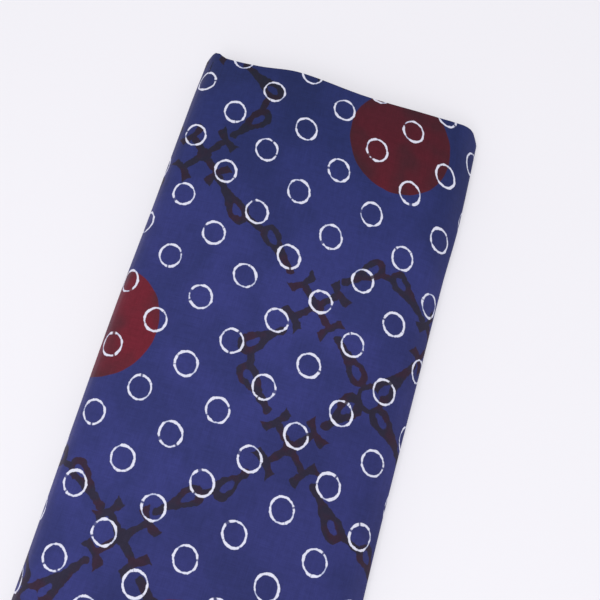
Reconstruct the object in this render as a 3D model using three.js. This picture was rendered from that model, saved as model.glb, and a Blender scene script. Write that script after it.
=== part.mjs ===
// Folded cotton cloth: one length of printed cotton, 1.12 m wide and 5 m long, folded to a pad.
//
// Frame: millimetres, +Z up, +X across the pad, +Y along it towards the end with the fold crest.
// The origin is on the surface that the pad rests on, under the middle of the pad.
//
// The cloth is first folded back and forth along its length, so that it is eight plies thick.
// Those eight plies are one layer here. The layer is then folded over and over across its width,
// so the section is one unbroken path of four layers, a little apart, back and forth.

import * as THREE from 'three';

// Driving dimensions
const padWidth = 284;
const layerThickness = 9.2;
const layerGap = 1.1;
const layerCount = 4;
const endPress = 0.86; // height left at the two ends
const endPressLength = 48;
const padReach = 312; // half of the pad's length, but for its corners
const clothColour = 0x2c3168;

// Sizes of the section, worked out from the layers
const layerPitch = layerThickness + layerGap;
const padHeight = layerCount * layerThickness + (layerCount - 1) * layerGap;
const wrapRadius = padHeight / 2;
const leftRadius = (padHeight - layerPitch) / 2;
const rightBendX = padWidth / 2 - wrapRadius;
const leftBendX = leftRadius - padWidth / 2;

// The straight runs of the path, in order. Level 0 is the layer on the resting surface.
const runs = [
  { name: 'bottom', level: 0, fromX: -128, toX: rightBendX },
  { name: 'top', level: 3, fromX: rightBendX, toX: leftBendX },
  { name: 'second', level: 1, fromX: leftBendX, toX: rightBendX },
  { name: 'inner', level: 2, fromX: rightBendX, toX: -123 },
];

// The bends between them, in order
const bends = [
  { name: 'right wrap', fromLevel: 0, toLevel: 3, x: rightBendX, side: 1, steps: 12 },
  { name: 'left wrap', fromLevel: 3, toLevel: 1, x: leftBendX, side: -1, steps: 10 },
  { name: 'inner turn', fromLevel: 1, toLevel: 2, x: rightBendX, side: 1, steps: 8 },
];

// Height that is left across the pad, as a share of the full height. The sides are pressed
// down, the right one more than the left, so that their widest place is low.
const crown = [
  { x: -142, share: 0.5 },
  { x: -138, share: 0.57 },
  { x: -130, share: 0.74 },
  { x: -118, share: 0.86 },
  { x: -100, share: 0.93 },
  { x: -70, share: 0.985 },
  { x: -30, share: 1 },
  { x: 20, share: 0.99 },
  { x: 60, share: 0.95 },
  { x: 85, share: 0.9 },
  { x: 105, share: 0.82 },
  { x: 120, share: 0.7 },
  { x: 130, share: 0.57 },
  { x: 138, share: 0.42 },
  { x: 142, share: 0.37 },
];

// Where the layer ends along Y, at places along the path. The far end's crest runs a little
// askew on the top layer, its two corners stand out, and it is nipped in below the right one.
const ends = [
  { place: 'bottom, free edge', along: 0, far: 300, near: -304 },
  { place: 'bottom, middle', along: 125, far: 303, near: -308 },
  { place: 'bottom, right', along: 235, far: 294, near: -307 },
  { place: 'right wrap, low', along: 262, far: 290, near: -303 },
  { place: 'right wrap, high', along: 275, far: 294, near: -305 },
  { place: 'top, right corner', along: 288, far: 305, near: -308 },
  { place: 'top, right edge', along: 303, far: 299, near: -310 },
  { place: 'top, right', along: 324, far: 297, near: -312 },
  { place: 'top, middle', along: 390, far: 300, near: -316 },
  { place: 'top, left of the middle', along: 460, far: 310, near: -319 },
  { place: 'top, left', along: 500, far: 308, near: -318 },
  { place: 'top, left edge', along: 540, far: 311, near: -316 },
  { place: 'top, left corner', along: 561, far: 319, near: -311 },
  { place: 'left wrap', along: 582, far: 309, near: -308 },
  { place: 'second, left', along: 610, far: 304, near: -309 },
  { place: 'inner turn', along: 837, far: 288, near: -303 },
  { place: 'inner, middle', along: 960, far: 303, near: -309 },
  { place: 'inner, free edge', along: 1090, far: 300, near: -305 },
];

// How far the long sides stray from straight lines, in +X
const sides = [
  { y: -312, left: 2.3, right: -2.7 },
  { y: -240, left: 1.3, right: -1.7 },
  { y: -150, left: 0.8, right: -2.7 },
  { y: -60, left: -0.2, right: -3.2 },
  { y: 50, left: -0.7, right: -2.2 },
  { y: 150, left: 0.8, right: -1.2 },
  { y: 205, left: 1.3, right: 0.7 },
  { y: 300, left: 2.3, right: -1.2 },
];

// Slow waves that leave the top uneven: how many millimetres apart their crests lie each way,
// and their rise as a share of the height
const waves = [
  { across: 258, along: 940, shift: 1.2, rise: 0.011 },
  { across: -470, along: 383, shift: 0.2, rise: 0.013 },
];

// Rounding at the two ends and at the two free edges: the share of the layer's thickness
// that is left at a distance in from the edge
const endRound = [
  { in: 0, thick: 0.45 },
  { in: 0.9, thick: 0.8 },
  { in: 3, thick: 1 },
];
const edgeRound = [
  { in: 0, thick: 0.88 },
  { in: 1.2, thick: 1 },
];
// The plies on the outside of a wrap use up more cloth, so the free edges are slanted
const edgeSlant = { bottom: 9, inner: 3 };
const edgeSlantLength = 20;

const acrossSteps = 13;
const alongSteps = 18;

// Reads a column of a table at a place between its rows, on a smooth curve through the rows
function readTable(rows, key, column, place) {
  const last = rows.length - 1;
  if (place <= rows[0][key]) return rows[0][column];
  if (place >= rows[last][key]) return rows[last][column];
  let row = 0;
  while (place > rows[row + 1][key]) row += 1;
  const slopeAt = (index) => {
    const before = rows[Math.max(index - 1, 0)];
    const after = rows[Math.min(index + 1, last)];
    return (after[column] - before[column]) / (after[key] - before[key]);
  };
  const span = rows[row + 1][key] - rows[row][key];
  const t = (place - rows[row][key]) / span;
  const start = (1 + 2 * t) * (1 - t) ** 2 * rows[row][column];
  const end = t ** 2 * (3 - 2 * t) * rows[row + 1][column];
  const leave = t * (1 - t) ** 2 * span * slopeAt(row);
  const arrive = t ** 2 * (t - 1) * span * slopeAt(row + 1);
  return start + end + leave + arrive;
}

function levelHeight(level) {
  return level * layerPitch + layerThickness / 2;
}

// Places across the pad that all the runs share, closer together towards the long sides
function acrossStations() {
  const stations = [];
  for (let step = 1; step < acrossSteps; step += 1) {
    const share = 0.5 - 0.5 * Math.cos((Math.PI * step) / acrossSteps);
    stations.push(THREE.MathUtils.lerp(leftBendX, rightBendX, share));
  }
  return stations;
}

// A point of the path holds its place, half of the layer's thickness as a vector towards the
// left of the way that the path goes, and how far the free edge's slant pushes each face.
function runPoint(run, x, thick = 1, slant = 0) {
  const heading = Math.sign(run.toX - run.fromX);
  const half = (layerThickness / 2) * thick;
  return { x, z: levelHeight(run.level), halfX: 0, halfZ: heading * half, slant };
}

function runPoints(run, isFirst, isLast) {
  const heading = Math.sign(run.toX - run.fromX);
  const slant = edgeSlant[run.name] ?? 0;
  let stations = acrossStations();
  if (heading < 0) stations.reverse();
  const freeX = isFirst ? run.fromX : run.toX;
  if (isFirst || isLast) {
    stations = stations.filter((x) => Math.abs(x - freeX) > edgeSlantLength);
  }
  const points = stations.map((x) => runPoint(run, x));
  const inward = isFirst ? heading : -heading;
  const edge = edgeRound.map((row) => runPoint(run, freeX + inward * row.in, row.thick, slant));
  if (isFirst) points.unshift(...edge);
  if (isLast) points.push(...edge.reverse());
  return points;
}

function bendPoints(bend) {
  const fromZ = levelHeight(bend.fromLevel);
  const toZ = levelHeight(bend.toLevel);
  const radius = Math.abs(toZ - fromZ) / 2;
  const middleZ = (fromZ + toZ) / 2;
  const rising = Math.sign(toZ - fromZ);
  const half = layerThickness / 2;
  const leftIsInward = bend.side * rising;
  const points = [];
  for (let step = 0; step <= bend.steps; step += 1) {
    const angle = (Math.PI * step) / bend.steps;
    const outX = bend.side * Math.sin(angle);
    const outZ = -rising * Math.cos(angle);
    points.push({
      x: bend.x + radius * outX,
      z: middleZ + radius * outZ,
      halfX: -leftIsInward * half * outX,
      halfZ: -leftIsInward * half * outZ,
      slant: 0,
    });
  }
  return points;
}

// The whole path from the bottom layer's free edge to the inner layer's, with distances along it
function sectionPath() {
  const points = [];
  runs.forEach((run, index) => {
    points.push(...runPoints(run, index === 0, index === runs.length - 1));
    if (index < bends.length) points.push(...bendPoints(bends[index]));
  });
  let along = 0;
  points.forEach((point, index) => {
    const before = points[Math.max(index - 1, 0)];
    along += Math.hypot(point.x - before.x, point.z - before.z);
    point.along = along;
  });
  return points;
}

// Rows along the pad: how far each lies from the near and the far end, and its thickness there
function endRows() {
  const nearRows = endRound.map((row) => ({ share: 0, in: row.in, thick: row.thick }));
  const farRows = endRound.map((row) => ({ share: 1, in: -row.in, thick: row.thick }));
  const roundDepth = endRound[endRound.length - 1].in;
  const middleRows = [];
  for (let step = 1; step < alongSteps; step += 1) {
    const even = step / alongSteps;
    const gathered = 0.5 - 0.5 * Math.cos(Math.PI * even);
    const share = (even + gathered) / 2;
    middleRows.push({ share, in: roundDepth * (1 - 2 * share), thick: 1 });
  }
  return [...nearRows, ...middleRows, ...farRows.reverse()];
}

function waveShare(x, y) {
  const turn = 2 * Math.PI;
  return waves.reduce((sum, wave) => {
    return sum + wave.rise * Math.sin(turn * (x / wave.across + y / wave.along + wave.shift));
  }, 1);
}

// Presses the sides and ends down, lets the long sides stray, and makes the top a little uneven
function settle(x, y, z) {
  const inside = THREE.MathUtils.smoothstep(padReach - Math.abs(y), 0, endPressLength);
  const pressed = THREE.MathUtils.lerp(endPress, 1, inside);
  const share = x / padWidth + 0.5;
  const left = readTable(sides, 'y', 'left', y);
  const right = readTable(sides, 'y', 'right', y);
  const height = z * readTable(crown, 'x', 'share', x) * pressed * waveShare(x, y);
  return [x + THREE.MathUtils.lerp(left, right, share), y, height];
}

function foldedCloth() {
  const path = sectionPath();
  const rows = endRows();
  const ringSize = 2 * path.length;
  const positions = [];
  rows.forEach((row) => {
    const left = [];
    const right = [];
    path.forEach((point) => {
      const near = readTable(ends, 'along', 'near', point.along);
      const far = readTable(ends, 'along', 'far', point.along);
      const y = THREE.MathUtils.lerp(near, far, row.share) + row.in;
      const halfX = point.halfX * row.thick;
      const halfZ = point.halfZ * row.thick;
      left.push(settle(point.x + halfX - point.slant, y, point.z + halfZ));
      right.push(settle(point.x - halfX + point.slant, y, point.z - halfZ));
    });
    positions.push(...left.flat(), ...right.reverse().flat());
  });

  const triangles = [];
  const addQuad = (a, b, c, d) => triangles.push(a, b, c, a, c, d);
  for (let row = 0; row < rows.length - 1; row += 1) {
    for (let spot = 0; spot < ringSize; spot += 1) {
      const next = (spot + 1) % ringSize;
      const here = row * ringSize;
      const ahead = here + ringSize;
      addQuad(here + spot, here + next, ahead + next, ahead + spot);
    }
  }
  const lastRing = (rows.length - 1) * ringSize;
  for (let spot = 0; spot < path.length - 1; spot += 1) {
    const across = ringSize - 1 - spot;
    addQuad(spot, across, across - 1, spot + 1);
    addQuad(lastRing + spot, lastRing + spot + 1, lastRing + across - 1, lastRing + across);
  }

  const geometry = new THREE.BufferGeometry();
  geometry.setAttribute('position', new THREE.Float32BufferAttribute(positions, 3));
  geometry.setIndex(triangles);
  geometry.computeVertexNormals();
  const material = new THREE.MeshStandardMaterial({
    color: clothColour,
    roughness: 0.9,
    metalness: 0,
  });
  const mesh = new THREE.Mesh(geometry, material);
  mesh.name = 'folded_cloth';
  return mesh;
}

const pad = new THREE.Group();
pad.add(foldedCloth());

export default pad;
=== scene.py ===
# Folded cotton cloth with rings, round spots and a leaf trellis, on a pale floor
# Metres, +Z up, +Y along the pad, +X across it
import math

import bpy
import numpy as np
from mathutils import Matrix, Vector


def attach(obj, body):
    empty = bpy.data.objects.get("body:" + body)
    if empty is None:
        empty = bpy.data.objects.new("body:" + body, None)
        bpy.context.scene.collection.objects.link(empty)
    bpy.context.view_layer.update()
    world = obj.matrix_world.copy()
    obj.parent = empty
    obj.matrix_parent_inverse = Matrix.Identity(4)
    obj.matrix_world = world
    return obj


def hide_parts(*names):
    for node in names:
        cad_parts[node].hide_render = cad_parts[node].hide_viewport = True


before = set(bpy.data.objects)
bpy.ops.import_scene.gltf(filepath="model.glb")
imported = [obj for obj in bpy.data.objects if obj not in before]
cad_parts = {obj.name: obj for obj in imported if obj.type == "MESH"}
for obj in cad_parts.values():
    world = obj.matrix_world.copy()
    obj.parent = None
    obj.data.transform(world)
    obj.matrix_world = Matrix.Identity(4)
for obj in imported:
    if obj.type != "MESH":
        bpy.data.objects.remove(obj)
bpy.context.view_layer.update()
scene = bpy.context.scene
mm = 0.001
print("frame loaded")

# Camera
cameraSetup = {
    "place": (94.3, -11.2, 539.1),  # mm, above the pad and a little right of its middle
    "lookAt": (24.6, 94.2, 40.0),
    "rollDeg": -16.41,
    "lensMm": 36.0,  # on a sensor 36 mm wide
    "sensorMm": 36.0,
    "nearest": 0.01,  # m, where its view starts and ends
    "farthest": 50,
}


def makeCamera(setup):
    data = bpy.data.cameras.new("camera")
    data.sensor_width = setup["sensorMm"]
    data.lens = setup["lensMm"]
    data.clip_start = setup["nearest"]
    data.clip_end = setup["farthest"]
    camera = bpy.data.objects.new("camera", data)
    scene.collection.objects.link(camera)
    place = Vector(setup["place"]) * mm
    view = (Vector(setup["lookAt"]) * mm - place).normalized()
    right = view.cross(Vector((0, 1, 0))).normalized()
    up = right.cross(view)
    turn = Matrix.Rotation(math.radians(setup["rollDeg"]), 3, view)
    axes = Matrix((turn @ right, turn @ up, -view)).transposed()
    camera.matrix_world = Matrix.Translation(place) @ axes.to_4x4()
    scene.camera = camera
    return camera


makeCamera(cameraSetup)
print("camera placed")

# Section of the pad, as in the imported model
pad = {
    "width": 284,
    "layerThickness": 9.2,
    "layerGap": 1.1,
    "layers": 4,
    "plies": 8,  # in each layer
    "clothThickness": 0.4,
    "reach": 312,  # half of its length
    "endPress": 0.86,
    "endPressLength": 48,
    "bottomFreeX": -128,
    "innerFreeX": -123,
    "bottomSlant": 9,  # the outer plies use up more cloth, so the free edges are slanted
    "innerSlant": 3,
}
layerPitch = pad["layerThickness"] + pad["layerGap"]
padHeight = pad["layers"] * pad["layerThickness"] + (pad["layers"] - 1) * pad["layerGap"]
rightBendX = (pad["width"] - padHeight) / 2
leftBendX = (padHeight - layerPitch - pad["width"]) / 2

crown = {  # height left across the pad
    "x": [-142, -138, -130, -118, -100, -70, -30, 20, 60, 85, 105, 120, 130, 138, 142],
    "share": [0.5, 0.57, 0.74, 0.86, 0.93, 0.985, 1, 0.99, 0.95, 0.9, 0.82, 0.7, 0.57, 0.42, 0.37],
}
ends = {  # where the layer ends, at places along its path
    "along": [0, 125, 235, 262, 275, 281, 288, 303, 324, 390,
              460, 500, 536, 550, 559, 570, 610, 837, 960, 1090],
    "far": [300, 303, 294, 288, 289, 292, 299, 298, 297, 300,
            310, 308, 311, 318, 313, 305, 300, 288, 303, 300],
    "near": [-304, -308, -307, -303, -305, -306, -308, -310, -312, -316,
             -319, -318, -316, -313, -311, -308, -309, -303, -309, -305],
}
sides = {  # how far the long sides stray
    "y": [-312, -240, -150, -60, 50, 150, 205, 300],
    "left": [2.3, 1.3, 0.8, -0.2, -0.7, 0.8, 1.3, 2.3],
    "right": [-2.7, -1.7, -2.7, -3.2, -2.2, -1.2, 0.7, -1.2],
}
waves = [
    {"across": 258, "along": 940, "shift": 1.2, "rise": 0.011},
    {"across": -470, "along": 383, "shift": 0.2, "rise": 0.013},
]


def readTable(table, key, column, place):  # smooth curve through the rows
    keys = np.array(table[key], float)
    values = np.array(table[column], float)
    before = np.maximum(np.arange(len(keys)) - 1, 0)
    after = np.minimum(np.arange(len(keys)) + 1, len(keys) - 1)
    slopes = (values[after] - values[before]) / (keys[after] - keys[before])
    place = np.clip(place, keys[0], keys[-1])
    row = np.clip(np.searchsorted(keys, place, side="right") - 1, 0, len(keys) - 2)
    span = keys[row + 1] - keys[row]
    t = (place - keys[row]) / span
    start = (1 + 2 * t) * (1 - t) ** 2 * values[row]
    end = t**2 * (3 - 2 * t) * values[row + 1]
    leave = t * (1 - t) ** 2 * span * slopes[row]
    arrive = t**2 * (t - 1) * span * slopes[row + 1]
    return start + end + leave + arrive


def smoothStep(value, low, high):
    t = np.clip((value - low) / (high - low), 0, 1)
    return t * t * (3 - 2 * t)


def levelHeight(level):
    return level * layerPitch + pad["layerThickness"] / 2


def sectionStretches():  # straight runs and half-turns of the layer, in order
    runs = [  # the level, counted from the bottom, and the run's two ends
        (0, pad["bottomFreeX"], rightBendX),
        (3, rightBendX, leftBendX),
        (1, leftBendX, rightBendX),
        (2, rightBendX, pad["innerFreeX"]),
    ]
    stretches = []
    for index, (level, fromX, toX) in enumerate(runs):
        height = levelHeight(level)
        run = {"kind": "run", "fromX": fromX, "toX": toX, "z": height}
        stretches.append(run | {"length": abs(toX - fromX)})
        if index < len(runs) - 1:
            rise = (levelHeight(runs[index + 1][0]) - height) / 2
            side = math.copysign(1, toX - fromX)
            turn = {"kind": "turn", "x": toX, "z": height + rise, "rise": rise, "side": side}
            stretches.append(turn | {"length": math.pi * abs(rise)})
    return stretches


stretches = sectionStretches()
pathLength = sum(stretch["length"] for stretch in stretches)


def pathPoint(along):  # middle of the layer, its outward direction and how far it has turned
    x, z, turned = (np.zeros_like(along) for _ in range(3))
    begin, angle = 0.0, 0.0
    for index, stretch in enumerate(stretches):
        last = index == len(stretches) - 1
        here = (along >= begin) & ((along < begin + stretch["length"]) | last)
        here |= (along < 0) & (index == 0)
        gone = along[here] - begin
        if stretch["kind"] == "run":
            x[here] = stretch["fromX"] + math.copysign(1, stretch["toX"] - stretch["fromX"]) * gone
            z[here] = stretch["z"]
            turned[here] = angle
        else:
            bend = gone / abs(stretch["rise"])
            x[here] = stretch["x"] + stretch["side"] * abs(stretch["rise"]) * np.sin(bend)
            z[here] = stretch["z"] - stretch["rise"] * np.cos(bend)
            turned[here] = angle + bend
            angle += math.pi
        begin += stretch["length"]
    return x, z, np.sin(turned), -np.cos(turned), turned


def settle(x, y, z):  # pressed sides and ends, straying sides and slow waves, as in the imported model
    inside = smoothStep(pad["reach"] - np.abs(y), 0, pad["endPressLength"])
    pressed = pad["endPress"] + (1 - pad["endPress"]) * inside
    share = x / pad["width"] + 0.5
    wave = 1 + sum(
        row["rise"] * np.sin(2 * math.pi * (x / row["across"] + y / row["along"] + row["shift"]))
        for row in waves
    )
    left = readTable(sides, "y", "left", y)
    right = readTable(sides, "y", "right", y)
    height = z * readTable(crown, "x", "share", x) * pressed * wave
    return x + left + (right - left) * share, y, height


# The cloth: one sheet, laid back and forth in plies and then folded over and over
cloth = {
    "flatWidth": 1.12,
    "flatLength": 5.0,
    "runStep": 4.6,  # mm between points where the cloth shows
    "hiddenStep": 15,
    "bendSteps": 14,
    "plySteps": 124,  # along the top ply
    "hiddenPlySteps": 15,
    "crestSteps": 6,
    "crestStray": 2.6,  # mm that the hidden crests fall short by, here more and there less
    "crestWaves": [{"share": 1, "size": 37, "shift": 2.1}, {"share": 0.6, "size": 13.7, "shift": 4.3}],
    "plyStray": 0.22,  # mm that the hidden plies lie above or below their even places
    "plyWave": {"sizeAlong": 29, "sizeY": 41, "shift": 2.4},
    "lowest": 0.22,
}
topRun = 2  # which stretch of the section shows on top
plyPitch = (pad["layerThickness"] - pad["clothThickness"]) / (pad["plies"] - 1)
outermost = (pad["plies"] - 1) / 2 * plyPitch  # from the layer's middle to its outermost ply


def pathStations():
    places = []
    begin = 0.0
    for index, stretch in enumerate(stretches):
        step = cloth["runStep"] if index == topRun else cloth["hiddenStep"]
        count = cloth["bendSteps"] if stretch["kind"] == "turn" else round(stretch["length"] / step)
        places.extend(begin + stretch["length"] * np.arange(count) / count)
        begin += stretch["length"]
    return np.array(places + [pathLength])


def freeEdges(offset):  # where a ply at this distance out from the layer's middle starts and ends
    share = offset / (pad["layerThickness"] / 2)
    return share * pad["bottomSlant"], pathLength - share * pad["innerSlant"]


def strayCrest(along, crest):  # how far short this crest falls, in mm
    rows = cloth["crestWaves"]
    wave = sum(row["share"] * np.sin(along / row["size"] + crest * row["shift"]) for row in rows)
    return cloth["crestStray"] * (1 + wave / sum(row["share"] for row in rows)) / 2


def strayPly(along, y, ply):  # how far this hidden ply lies off its even place, in mm
    row = cloth["plyWave"]
    return cloth["plyStray"] * np.sin(along / row["sizeAlong"] + y / row["sizeY"] + ply * row["shift"])


def plyRows():  # from the near end of the top ply, back and forth down through the layer
    rows = []
    for ply in range(pad["plies"]):
        steps = cloth["plySteps"] if ply == 0 else cloth["hiddenPlySteps"]
        rows += [{"ply": ply, "share": step / steps, "turn": 0} for step in range(steps + 1)]
        if ply < pad["plies"] - 1:
            turns = math.pi * np.arange(1, cloth["crestSteps"]) / cloth["crestSteps"]
            rows += [{"ply": ply, "share": 1, "turn": turn} for turn in turns]
    return rows


def buildCloth():
    fraction = pathStations() / pathLength
    crest = plyPitch / 2
    points = []
    flat = []
    before = None
    for row in plyRows():
        ply, turn = row["ply"], row["turn"]
        way = 1 if ply % 2 == 0 else -1
        offset = outermost - ply * plyPitch - crest * (1 - math.cos(turn))
        begin, finish = freeEdges(offset)
        along = begin + fraction * (finish - begin)
        x, z, outX, outZ, turned = pathPoint(along)
        far = readTable(ends, "along", "far", along) - crest
        near = readTable(ends, "along", "near", along) + crest
        # crest 1 is the outermost at the far end, and it keeps to the table
        farCrest, nearCrest = ply // 2 * 2 + 1, (ply + 1) // 2 * 2
        far = far - (strayCrest(along, farCrest) if farCrest > 1 else 0)
        near = near + (strayCrest(along, nearCrest) if nearCrest > 0 else 0)
        start, stop = (near, far) if way > 0 else (far, near)
        y = start + row["share"] * (stop - start) + way * crest * math.sin(turn)
        level = offset + (strayPly(along, y, ply) if ply > 0 else 0)
        vFlat = y if before is None else before[2] + np.hypot(y - before[0], offset - before[1])
        before = (y, offset, vFlat)
        points.append(np.stack(settle(x + outX * level, y, z + outZ * level), 1))
        flat.append(np.stack([along + offset * turned, vFlat], 1))
    points = np.array(points)
    points[..., 2] = np.maximum(points[..., 2], cloth["lowest"])
    return points, np.array(flat)


# How the printed cloth lies a little out of square
skew = {
    "at": 100,  # mm from the middle, where these are the mm of stretch
    "acrossAcross": (-2.6, -2.1),
    "acrossAlong": (-0.3, -0.9),
    "alongAlong": (-1.4, 0.2),
    "limit": (160, 320),
    "slipPlace": (44, 134),  # and one place where it has slipped
    "slip": (2.7, -5.6),
    "slipReach": 44,
    "rounds": 5,
}


def printPlaces(flat):  # from places on the flat cloth, in mm, to places in the print
    topMiddle = stretches[0]["length"] + stretches[1]["length"] + rightBendX
    laid = np.stack([topMiddle + outermost * math.pi - flat[..., 0], flat[..., 1]], -1)
    place = laid
    limitX, limitY = skew["limit"]
    for _ in range(skew["rounds"]):
        x = np.clip(place[..., 0], -limitX, limitX) / skew["at"]
        y = np.clip(place[..., 1], -limitY, limitY) / skew["at"]
        away = np.sum((place - skew["slipPlace"]) ** 2, -1, keepdims=True)
        slip = np.exp(-away / (2 * skew["slipReach"] ** 2)) * skew["slip"]
        pulled = x[..., None] ** 2 * skew["acrossAcross"] + (x * y)[..., None] * skew["acrossAlong"]
        place = laid - pulled - y[..., None] ** 2 * skew["alongAlong"] - slip
    return place


def makeClothMesh():
    points, flat = buildCloth()
    rowCount, columnCount = points.shape[:2]
    vertices = points.reshape(-1, 3) * mm
    faces = []
    for row in range(rowCount - 1):
        for column in range(columnCount - 1):
            corner = row * columnCount + column
            faces.append((corner, corner + columnCount, corner + columnCount + 1, corner + 1))
    mesh = bpy.data.meshes.new("printed_cloth")
    mesh.from_pydata(vertices.tolist(), [], faces)
    uv = mesh.uv_layers.new(name="print")
    loops = np.zeros(len(mesh.loops), np.int32)
    mesh.loops.foreach_get("vertex_index", loops)
    places = printPlaces(flat).reshape(-1, 2) * mm
    uv.data.foreach_set("uv", places[loops].ravel())
    mesh.polygons.foreach_set("use_smooth", [True] * len(mesh.polygons))
    piece = bpy.data.objects.new("printed_cloth", mesh)
    scene.collection.objects.link(piece)
    solid = piece.modifiers.new("thickness", "SOLIDIFY")
    solid.thickness = pad["clothThickness"] * mm
    solid.offset = 0
    print("cloth:", rowCount, "by", columnCount, "points")
    return piece


clothPiece = makeClothMesh()
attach(clothPiece, "root")
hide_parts("folded_cloth")


def paint(red, green, blue):  # colour from 0-255 values as seen
    return tuple(((value / 255 + 0.055) / 1.055) ** 2.4 for value in (red, green, blue)) + (1,)


class Nodes:  # short ways to add and link shader nodes
    def __init__(self, tree):
        self.tree = tree

    def feed(self, socket, value):
        if isinstance(value, bpy.types.NodeSocket):
            self.tree.links.new(value, socket)
        elif isinstance(value, tuple) and len(value) == 2:
            socket.default_value = (*value, 0)
        else:
            socket.default_value = value

    def add(self, kind, inputs=None, **settings):
        node = self.tree.nodes.new(kind)
        for name, value in settings.items():
            setattr(node, name, value)
        for label, value in (inputs or {}).items():
            self.feed(node.inputs[label], value)
        return node

    def maths(self, operation, *values, clamp=False):
        node = self.add("ShaderNodeMath", operation=operation, use_clamp=clamp)
        for socket, value in zip(node.inputs, values):
            self.feed(socket, value)
        return node.outputs[0]

    def vectors(self, operation, *values):
        node = self.add("ShaderNodeVectorMath", operation=operation)
        for socket, value in zip(node.inputs, values):
            self.feed(socket, value)
        return node.outputs["Value" if operation in ("DOT_PRODUCT", "LENGTH") else "Vector"]

    def scale(self, vector, factor):
        node = self.add("ShaderNodeVectorMath", {"Vector": vector, "Scale": factor}, operation="SCALE")
        return node.outputs["Vector"]

    def join(self, x, y):
        return self.add("ShaderNodeCombineXYZ", {"X": x, "Y": y}).outputs[0]

    def split(self, vector):
        node = self.add("ShaderNodeSeparateXYZ", {"Vector": vector})
        return node.outputs["X"], node.outputs["Y"]

    def least(self, values):
        result = values[0]
        for value in values[1:]:
            result = self.maths("MINIMUM", result, value)
        return result

    def minus(self, value, taken):
        return self.maths("SUBTRACT", value, taken)

    def times(self, value, factor):
        return self.maths("MULTIPLY", value, factor)

    def smooth(self, value, low, high, start=0.0, end=1.0):
        span = {"Value": value, "From Min": low, "From Max": high, "To Min": start, "To Max": end}
        node = self.add("ShaderNodeMapRange", span, interpolation_type="SMOOTHSTEP")
        return node.outputs["Result"]

    def blend(self, share, first, second):
        node = self.add("ShaderNodeMix", data_type="RGBA")
        self.feed(node.inputs["Factor"], share)
        firstColour, secondColour = (socket for socket in node.inputs if socket.type == "RGBA")
        self.feed(firstColour, first)
        self.feed(secondColour, second)
        return next(socket for socket in node.outputs if socket.type == "RGBA")

    def noise(self, place, size, detail=2.0, rough=0.5, colour=False):  # size in mm
        inputs = {"Vector": place, "Scale": 1 / size, "Detail": detail, "Roughness": rough}
        node = self.add("ShaderNodeTexNoise", inputs, noise_dimensions="2D")
        return node.outputs["Color" if colour else "Fac"]

    def group(self, group, **inputs):
        node = self.add("ShaderNodeGroup", node_tree=group)
        for label, value in inputs.items():
            self.feed(node.inputs[label], value)
        return node.outputs


def newGroup(name, inputs, outputs):
    group = bpy.data.node_groups.new(name, "ShaderNodeTree")
    for label, kind in inputs.items():
        group.interface.new_socket(label, in_out="INPUT", socket_type="NodeSocket" + kind)
    for label, kind in outputs.items():
        group.interface.new_socket(label, in_out="OUTPUT", socket_type="NodeSocket" + kind)
    nodes = Nodes(group)
    start = nodes.add("NodeGroupInput").outputs
    end = nodes.add("NodeGroupOutput").inputs
    return group, nodes, start, end


# The print. All its sizes are in mm on the flat cloth, across and along from the same
# place under the middle of the pad, with the print seen from the front of the cloth.
rings = {
    "start": (43.5, 102.3),
    "next": (-31.7, -28.7),  # from one ring to the next, two ways
    "other": (37.9, -30.1),
    "radiusAcross": 10.0,
    "radiusAlong": 10.1,
    "lean": -1.0,  # they are printed a little oblique
    "wobble": 0.9,
    "wobbleSize": 6.5,
    "stroke": 0.88,  # half of a usual stroke's width
    "strokeSpread": 2.6,
    "strokeSize": 8.0,
    "strokeLeast": 0.45,
    "edgeDetail": 3.0,
    "edgeRough": 0.6,
    "edgeSoft": 0.25,
    "thinFrom": 0.25,  # strokes between these half-widths hold less paste
    "thinTo": 0.85,
    "thinShare": 0.6,
    "seeThrough": 0.06,
}
ringGaps = {
    "widest": [1.6, 0.8],  # half of the widest first and second gap in a ring
    "turns": [7, 11],  # these, and the three below, spread the gaps by chance
    "draw": 31.0,
    "drawFrom": 0.2,
    "drawTo": 0.9,
    "edgeFrom": -0.5,
    "edgeTo": 0.7,
    "clear": 0.94,
}
trellis = {
    "across": (219, 227),  # its repeat, two ways
    "up": (-156, 234),
    "wobble": 4.0,
    "wobbleSize": 7.0,
    "soft": 0.35,
    "spread": 0.35,  # how far the paste ran past the block's edge
    "stem": 2.0,  # half of a leaf stem's width
    "stemEnd": 1.5,
    "leafBack": -4.0,
    "leafTaper": 1.6,
    "leafEnd": 8.0,  # how suddenly the stem thickens at its end
    "eye": 3.5,
    "eyeLong": 0.47,
    "bar": 2.4,
    "crossTurn": 45,  # degrees
    "armReach": 23.5,
    "arm": 2.8,
    "barThick": 2.5,
    "barReach": 12,
    "barFlare": 0.013,
    "barCurve": 0.018,
    "knot": 6.2,
    "hub": 8.3,  # a bare round spot in a collar
    "collar": 10.4,
    "collarThick": 1.7,
}
motifs = {  # in every repeat
    "crosses": [(41, 97), (-56, -130)],
    "leaves": [  # where the eye and the end of the stem lie, and half of the leaf's width
        {"eye": (-2, 49), "stem": (18, 66), "wide": 9.6},
        {"eye": (3, 20), "stem": (26, -2), "wide": 8.6},
        {"eye": (82, 142), "stem": (60, 126), "wide": 8.8},
        {"eye": (111, 137), "stem": (138, 115), "wide": 8.0},
        {"eye": (-13, 144), "stem": (10, 121), "wide": 7.8},
        {"eye": (13, -70), "stem": (24, -56), "wide": 8.2},
        {"eye": (-14, -86), "stem": (-36, -104), "wide": 8.0},
        {"eye": (106, -75), "stem": (82, -50), "wide": 8.8},
    ],
    "bars": [
        ((-2, 49), (3, 20)),
        ((-50, 159), (-13, 144)),
        ((13, -70), (-14, -86)),
        ((82, 142), (111, 137)),
    ],
    "hubs": [],
}
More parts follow.
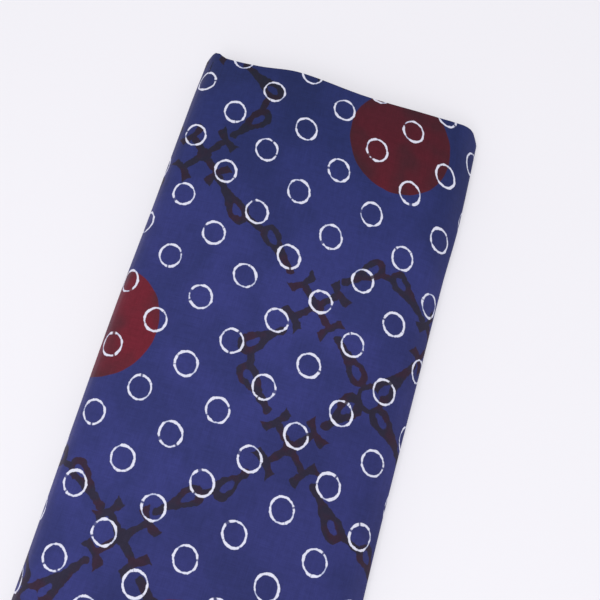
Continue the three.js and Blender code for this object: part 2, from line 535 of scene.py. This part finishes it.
secondMotifs = {  # in every second repeat upwards
    "crosses": [(54, -26), (-94, 205)],
    "leaves": [
        {"eye": (91, 50), "stem": (68, 73), "wide": 8.2},
        {"eye": (119, 43), "stem": (141, 73), "wide": 10.0},
        {"eye": (92, 19), "stem": (78, -1), "wide": 10.2},
        {"eye": (123, 18), "stem": (154, -7), "wide": 8.4},
        {"eye": (-53, 248), "stem": (-72, 228), "wide": 9.0},
        {"eye": (-47, 281), "stem": (-78, 303), "wide": 8.6},
        {"eye": (-8, -178), "stem": (-30, -157), "wide": 8.2},
    ],
    "bars": [
        ((91, 50), (109, 33)),
        ((92, 19), (109, 33)),
        ((123, 18), (109, 33)),
        ((-53, 248), (-47, 281)),
    ],
    "hubs": [(109, 33)],
}
discs = {
    "place": (-135, 36),
    "across": (219, 228),
    "up": (-150, 246),
    "radius": 50.0,
    "wobble": 1.6,
    "wobbleSize": 14.0,
    "edgeSoft": 0.4,
}
cottonColours = {
    "ground": paint(53, 57, 118),
    "groundDeep": paint(47, 52, 107),
    "ring": paint(227, 228, 244),
    "ringThin": paint(146, 160, 206),
    "maroon": paint(106, 30, 44),
    "maroonDeep": paint(76, 36, 45),
    "brown": paint(44, 40, 59),
    "brownRed": paint(54, 36, 54),
}
dye = {
    "cloudSize": 60.0,
    "cloudDetail": 3.0,
    "clouds": (0.35, 0.65),  # where the noise turns from the first colour to the second
    "streakSize": 42.0,
    "streakRough": 0.4,
    "streaks": (0.34, 0.72),
    "rednessSize": 20.0,
    "redness": (0.42, 0.68),
    "mottleSize": 5.0,
    "mottleDetail": 3.0,
    "mottleRough": 0.65,
    "mottle": (0.3, 0.7, 0.95, 1.05),
}
paintedShade = [  # painted shade where less light falls: the ways it darkens, and the share of colour left
    {"way": (0, 1), "from": 60, "to": 330, "left": (0.48, 0.64, 0.65)},
    {"way": (0.8, -0.6), "from": 0, "to": 80, "left": (0.87, 0.86, 0.86)},
]


class Repeat:  # an oblique repeat of the print, with the print's place given as shares of it
    def __init__(self, nodes, place, across, up):
        area = across[0] * up[1] - across[1] * up[0]
        self.steps = across, up
        self.rows = (up[1] / area, -up[0] / area), (-across[1] / area, across[0] / area)
        self.shares = nodes.join(*(nodes.vectors("DOT_PRODUCT", place, row) for row in self.rows))

    def near(self, spot, turn=0.0):  # what a motif needs to find its nearest copy
        ahead, aside = (math.cos(turn), math.sin(turn)), (-math.sin(turn), math.cos(turn))
        return {
            "Shares": self.shares,
            "Spot": tuple(np.dot(row, spot) for row in self.rows),
            "Ahead": tuple(np.dot(step, ahead) for step in self.steps),
            "Aside": tuple(np.dot(step, aside) for step in self.steps),
        }


def motifPlace(nodes, near):  # mm from the motif's own spot, ahead and aside
    away = nodes.vectors("SUBTRACT", near["Shares"], near["Spot"])
    away = nodes.vectors("WRAP", away, (0.5, 0.5, 0.5), (-0.5, -0.5, -0.5))
    return [nodes.vectors("DOT_PRODUCT", away, near[side]) for side in ("Ahead", "Aside")]


def motifGroup(name, sizes, outputs):
    inputs = {label: "Vector" for label in ("Shares", "Spot", "Ahead", "Aside")}
    group, nodes, start, end = newGroup(name, inputs | {size: "Float" for size in sizes}, outputs)
    return group, nodes, start, end, motifPlace(nodes, start)


def leafGroup():  # widest round its eye, narrow along its stem
    outputs = {"Body": "Float", "Eye": "Float"}
    group, nodes, start, end, (x, y) = motifGroup("leaf", ["Long", "Wide"], outputs)
    gone = nodes.maths("DIVIDE", x, start["Long"], clamp=True)
    nearX = nodes.maths("MINIMUM", nodes.maths("MAXIMUM", x, trellis["leafBack"]), start["Long"])
    off = nodes.vectors("LENGTH", nodes.join(nodes.minus(x, nearX), y))
    left = nodes.maths("POWER", nodes.minus(1.0, gone), trellis["leafTaper"])
    spare = nodes.minus(start["Wide"], trellis["stem"])
    width = nodes.maths("MULTIPLY_ADD", left, spare, trellis["stem"])
    thicker = nodes.maths("POWER", gone, trellis["leafEnd"])
    width = nodes.maths("MULTIPLY_ADD", thicker, trellis["stemEnd"], width)
    nodes.feed(end["Body"], nodes.minus(off, width))
    eyeOff = nodes.vectors("LENGTH", nodes.join(nodes.times(x, trellis["eyeLong"]), y))
    nodes.feed(end["Eye"], nodes.minus(eyeOff, trellis["eye"]))
    return group


def barGroup():
    group, nodes, start, end, (x, y) = motifGroup("bar", ["Long"], {"Body": "Float"})
    nearX = nodes.maths("MINIMUM", nodes.maths("MAXIMUM", x, 0.0), start["Long"])
    off = nodes.vectors("LENGTH", nodes.join(nodes.minus(x, nearX), y))
    nodes.feed(end["Body"], nodes.minus(off, trellis["bar"]))
    return group


def crossGroup():  # four arms that each end in a flared bar
    group, nodes, start, end, (x, y) = motifGroup("cross", [], {"Body": "Float"})
    x, y = nodes.maths("ABSOLUTE", x), nodes.maths("ABSOLUTE", y)
    out, side = nodes.maths("MAXIMUM", x, y), nodes.maths("MINIMUM", x, y)
    arm = nodes.minus(side, trellis["arm"])
    arm = nodes.maths("MAXIMUM", arm, nodes.minus(out, trellis["armReach"]))
    square = nodes.times(side, side)
    reach = nodes.maths("MULTIPLY_ADD", square, trellis["barCurve"], trellis["armReach"])
    thick = nodes.maths("MULTIPLY_ADD", square, trellis["barFlare"], trellis["barThick"])
    bar = nodes.maths("ABSOLUTE", nodes.minus(out, reach))
    bar = nodes.minus(bar, thick)
    bar = nodes.maths("MAXIMUM", bar, nodes.minus(side, trellis["barReach"]))
    knot = nodes.minus(nodes.vectors("LENGTH", nodes.join(x, y)), trellis["knot"])
    nodes.feed(end["Body"], nodes.least([arm, bar, knot]))
    return group


def heading(fromSpot, toSpot):  # angle and length
    across, up = toSpot[0] - fromSpot[0], toSpot[1] - fromSpot[1]
    return math.atan2(up, across), math.hypot(across, up)


def trellisShare(nodes, place):  # 1 inside the trellis, 0 outside
    stray = nodes.noise(place, trellis["wobbleSize"], colour=True)
    stray = nodes.vectors("SUBTRACT", stray, (0.5, 0.5, 0.5))
    point = nodes.vectors("ADD", place, nodes.scale(stray, trellis["wobble"]))
    leaf, bar, cross = leafGroup(), barGroup(), crossGroup()
    bodies, holes = [], []
    across, up = trellis["across"], trellis["up"]
    for rows, upStep in ((motifs, up), (secondMotifs, (2 * up[0], 2 * up[1]))):
        repeat = Repeat(nodes, point, across, upStep)
        for row in rows["leaves"]:
            turn, length = heading(row["eye"], row["stem"])
            shape = nodes.group(leaf, **repeat.near(row["eye"], turn), Long=length, Wide=row["wide"])
            bodies.append(shape["Body"])
            holes.append(shape["Eye"])
        for fromSpot, toSpot in rows["bars"]:
            turn, length = heading(fromSpot, toSpot)
            bodies.append(nodes.group(bar, **repeat.near(fromSpot, turn), Long=length)["Body"])
        for spot in rows["crosses"]:
            near = repeat.near(spot, math.radians(trellis["crossTurn"]))
            bodies.append(nodes.group(cross, **near)["Body"])
        for spot in rows["hubs"]:
            out = nodes.vectors("LENGTH", nodes.join(*motifPlace(nodes, repeat.near(spot))))
            holes.append(nodes.minus(out, trellis["hub"]))
            collar = nodes.maths("ABSOLUTE", nodes.minus(out, trellis["collar"]))
            bodies.append(nodes.minus(collar, trellis["collarThick"]))
    shape = nodes.maths("MAXIMUM", nodes.least(bodies), nodes.times(nodes.least(holes), -1.0))
    spread, soft = trellis["spread"], trellis["soft"]
    return nodes.smooth(shape, spread - soft, spread + soft, 1.0, 0.0)


def gapShare(nodes, which, local):  # 1 in the two breaks that each ring's stroke may have
    random = nodes.add("ShaderNodeTexWhiteNoise", {"Vector": which}, noise_dimensions="2D")
    draws = nodes.split(random.outputs["Color"])
    cuts = []
    for draw, widest, turns in zip(draws, ringGaps["widest"], ringGaps["turns"]):
        spin = {"Vector": local, "Angle": nodes.times(draw, 2 * math.pi * turns)}
        turned = nodes.add("ShaderNodeVectorRotate", spin, rotation_type="Z_AXIS")
        ahead, beside = nodes.split(turned.outputs[0])
        half = nodes.maths("FRACT", nodes.times(draw, ringGaps["draw"]))
        half = nodes.times(nodes.smooth(half, ringGaps["drawFrom"], ringGaps["drawTo"]), widest)
        inside = nodes.minus(nodes.maths("ABSOLUTE", beside), half)
        cut = nodes.smooth(inside, ringGaps["edgeFrom"], ringGaps["edgeTo"], 1.0, 0.0)
        cuts.append(nodes.times(cut, nodes.maths("GREATER_THAN", ahead, 0.0)))
    return nodes.maths("MAXIMUM", *cuts)


def ringShare(nodes, place):  # how much of the ring's paste shows, and how thin it lies
    first, second = rings["next"], rings["other"]
    shares = Repeat(nodes, nodes.vectors("SUBTRACT", place, rings["start"]), first, second).shares
    which = nodes.vectors("FLOOR", nodes.vectors("ADD", shares, (0.5, 0.5)))
    partA, partB = nodes.split(nodes.vectors("SUBTRACT", shares, which))
    local = nodes.vectors("ADD", nodes.scale(first, partA), nodes.scale(second, partB))
    x, y = nodes.split(local)
    evenY = nodes.maths("DIVIDE", y, rings["radiusAlong"])
    evenX = nodes.maths("MULTIPLY_ADD", evenY, -rings["lean"], x)
    evenX = nodes.maths("DIVIDE", evenX, rings["radiusAcross"])
    out = nodes.vectors("LENGTH", nodes.join(evenX, evenY))
    radius = nodes.times(nodes.minus(out, 1.0), rings["radiusAlong"])
    edge = {"detail": rings["edgeDetail"], "rough": rings["edgeRough"]}
    wobble = nodes.minus(nodes.noise(place, rings["wobbleSize"], **edge), 0.5)
    radius = nodes.maths("MULTIPLY_ADD", wobble, rings["wobble"], radius)
    stroke = nodes.minus(nodes.noise(place, rings["strokeSize"], **edge), 0.5)
    stroke = nodes.maths("MULTIPLY_ADD", stroke, rings["strokeSpread"], rings["stroke"])
    thin = nodes.smooth(stroke, rings["thinFrom"], rings["thinTo"], 1.0, 0.0)
    half = nodes.maths("MAXIMUM", stroke, rings["strokeLeast"])
    inside = nodes.minus(nodes.maths("ABSOLUTE", radius), half)
    shown = nodes.smooth(inside, -rings["edgeSoft"], rings["edgeSoft"], 1.0, 0.0)
    gaps = nodes.times(gapShare(nodes, which, local), ringGaps["clear"])
    return nodes.times(shown, nodes.minus(1.0, gaps)), thin


def discShare(nodes, place):
    repeat = Repeat(nodes, place, discs["across"], discs["up"])
    out = nodes.vectors("LENGTH", nodes.join(*motifPlace(nodes, repeat.near(discs["place"]))))
    wobble = nodes.minus(nodes.noise(place, discs["wobbleSize"]), 0.5)
    out = nodes.maths("MULTIPLY_ADD", wobble, discs["wobble"], out)
    radius, soft = discs["radius"], discs["edgeSoft"]
    return nodes.smooth(out, radius - soft, radius + soft, 1.0, 0.0)


def dyedClothAndPaintedShade(nodes, place):  # ground with slow clouds, discs with streaks, the trellis, then painted shade
    paints = cottonColours
    clouds = nodes.noise(place, dye["cloudSize"], detail=dye["cloudDetail"])
    clouds = nodes.smooth(clouds, *dye["clouds"])
    colour = nodes.blend(clouds, paints["ground"], paints["groundDeep"])
    streaks = nodes.noise(place, dye["streakSize"], rough=dye["streakRough"])
    streaks = nodes.smooth(streaks, *dye["streaks"])
    maroon = nodes.blend(streaks, paints["maroon"], paints["maroonDeep"])
    colour = nodes.blend(discShare(nodes, place), colour, maroon)
    redness = nodes.smooth(nodes.noise(place, dye["rednessSize"]), *dye["redness"])
    brown = nodes.blend(redness, paints["brown"], paints["brownRed"])
    colour = nodes.blend(trellisShare(nodes, place), colour, brown)
    mottle = nodes.noise(place, dye["mottleSize"], dye["mottleDetail"], dye["mottleRough"])
    colour = nodes.scale(colour, nodes.smooth(mottle, *dye["mottle"]))
    # painted shade: darker towards the far end and to one side, where less light falls
    for row in paintedShade:
        share = nodes.smooth(nodes.vectors("DOT_PRODUCT", place, row["way"]), row["from"], row["to"])
        colour = nodes.vectors("MULTIPLY", colour, nodes.blend(share, (1, 1, 1, 1), (*row["left"], 1)))
    return colour


def ringedCloth(nodes, place, colour):  # rings of resist that kept the cloth pale
    shown, thin = ringShare(nodes, place)
    paste = nodes.blend(rings["seeThrough"], cottonColours["ring"], colour)
    paste = nodes.blend(nodes.times(thin, rings["thinShare"]), paste, cottonColours["ringThin"])
    return nodes.blend(shown, colour, paste)


weave = {
    "pitch": 0.36,
    "rise": 0.03,
    "strength": 0.5,
    "threadSize": 0.7,
    "threadStretch": 0.03,  # a thread's shade changes this much more slowly along it than across
    "threadShade": (0.6, 1.4, 0.92, 1.08),
    "crumple": 0.25,
    "crumpleSize": 26.0,
}
cottonFinish = {
    "Roughness": 0.82,
    "Specular IOR Level": 0.15,
    "Sheen Weight": 0.13,
    "Sheen Tint": (0.84, 0.74, 1.0, 1),
    "Sheen Roughness": 0.4,
}


def threadShade(nodes, place):  # uneven threads both ways
    thin = weave["threadStretch"]
    drawn = [nodes.vectors("MULTIPLY", place, way) for way in ((1.0, thin), (thin, 1.0))]
    threads = [nodes.noise(way, weave["threadSize"], detail=1.0) for way in drawn]
    return nodes.smooth(nodes.maths("ADD", *threads), *weave["threadShade"])


def weaveBump(nodes, place):  # plain weave, and under it a soft unevenness of the cloth
    pitch = math.pi / weave["pitch"]
    over = [nodes.maths("SINE", nodes.times(way, pitch)) for way in nodes.split(place)]
    fine = {"Height": nodes.times(*over), "Strength": weave["strength"], "Distance": weave["rise"] * mm}
    bump = nodes.add("ShaderNodeBump", fine).outputs[0]
    height = nodes.noise(place, weave["crumpleSize"])
    soft = {"Height": height, "Strength": 1.0, "Distance": weave["crumple"] * mm, "Normal": bump}
    return nodes.add("ShaderNodeBump", soft).outputs[0]


def clothMaterial():
    material = bpy.data.materials.new("printed_cotton")
    material.use_nodes = True
    nodes = Nodes(material.node_tree)
    place = nodes.scale(nodes.add("ShaderNodeUVMap", uv_map="print").outputs[0], 1 / mm)
    colour = ringedCloth(nodes, place, dyedClothAndPaintedShade(nodes, place))
    shader = material.node_tree.nodes["Principled BSDF"]
    nodes.feed(shader.inputs["Base Color"], nodes.scale(colour, threadShade(nodes, place)))
    nodes.feed(shader.inputs["Normal"], weaveBump(nodes, place))
    for label, value in cottonFinish.items():
        shader.inputs[label].default_value = value
    return material


clothPiece.data.materials.append(clothMaterial())
print("cotton printed")

# Floor and light
studio = {
    "floorSize": 12.0,
    "floorColour": (185, 184, 189),
    "floorGlow": (0.42, 0.413, 0.426, 1),  # the surface is lit from below a little
    "floorRough": 0.9,
    "floorGloss": 0.1,
    "worldColour": (0.98, 0.975, 1.0),
    "worldStrength": 0.78,
    "seenColour": (0.9, 0.89, 0.94, 1),  # what the camera sees past the floor
    "lampPlace": (-0.15, -0.8, 1.5),
    "lampAim": (0.0, 0.0, 0.0),
    "lampSize": 1.2,
    "lampPower": 10.5,
}


def makeFloor():
    mesh = bpy.data.meshes.new("floor")
    half = studio["floorSize"] / 2
    corners = [(-half, -half, 0), (half, -half, 0), (half, half, 0), (-half, half, 0)]
    mesh.from_pydata(corners, [], [(0, 1, 2, 3)])
    floor = bpy.data.objects.new("floor", mesh)
    scene.collection.objects.link(floor)
    material = bpy.data.materials.new("floor_white")
    material.use_nodes = True
    shader = material.node_tree.nodes["Principled BSDF"]
    shader.inputs["Base Color"].default_value = paint(*studio["floorColour"])
    shader.inputs["Roughness"].default_value = studio["floorRough"]
    shader.inputs["Specular IOR Level"].default_value = studio["floorGloss"]
    shader.inputs["Emission Color"].default_value = studio["floorGlow"]
    shader.inputs["Emission Strength"].default_value = 1.0
    mesh.materials.append(material)


def makeLights():
    world = bpy.data.worlds.new("studio")
    world.use_nodes = True
    nodes = Nodes(world.node_tree)
    light = world.node_tree.nodes["Background"]
    nodes.feed(light.inputs["Color"], (*studio["worldColour"], 1))
    nodes.feed(light.inputs["Strength"], studio["worldStrength"])
    seen = nodes.add("ShaderNodeBackground", {"Color": studio["seenColour"]})
    direct = nodes.add("ShaderNodeLightPath").outputs["Is Camera Ray"]
    mix = nodes.add("ShaderNodeMixShader", {0: direct, 1: light.outputs[0], 2: seen.outputs[0]})
    nodes.feed(world.node_tree.nodes["World Output"].inputs["Surface"], mix.outputs[0])
    scene.world = world
    lamp = bpy.data.lights.new("soft_box", "AREA")
    lamp.shape = "DISK"
    lamp.size = studio["lampSize"]
    lamp.energy = studio["lampPower"]
    holder = bpy.data.objects.new("soft_box", lamp)
    scene.collection.objects.link(holder)
    aim = Vector(studio["lampAim"]) - Vector(studio["lampPlace"])
    turn = aim.to_track_quat("-Z", "Y").to_matrix().to_4x4()
    holder.matrix_world = Matrix.Translation(studio["lampPlace"]) @ turn
    scene.view_settings.view_transform = "Standard"


makeFloor()
makeLights()
print("floor and light made")
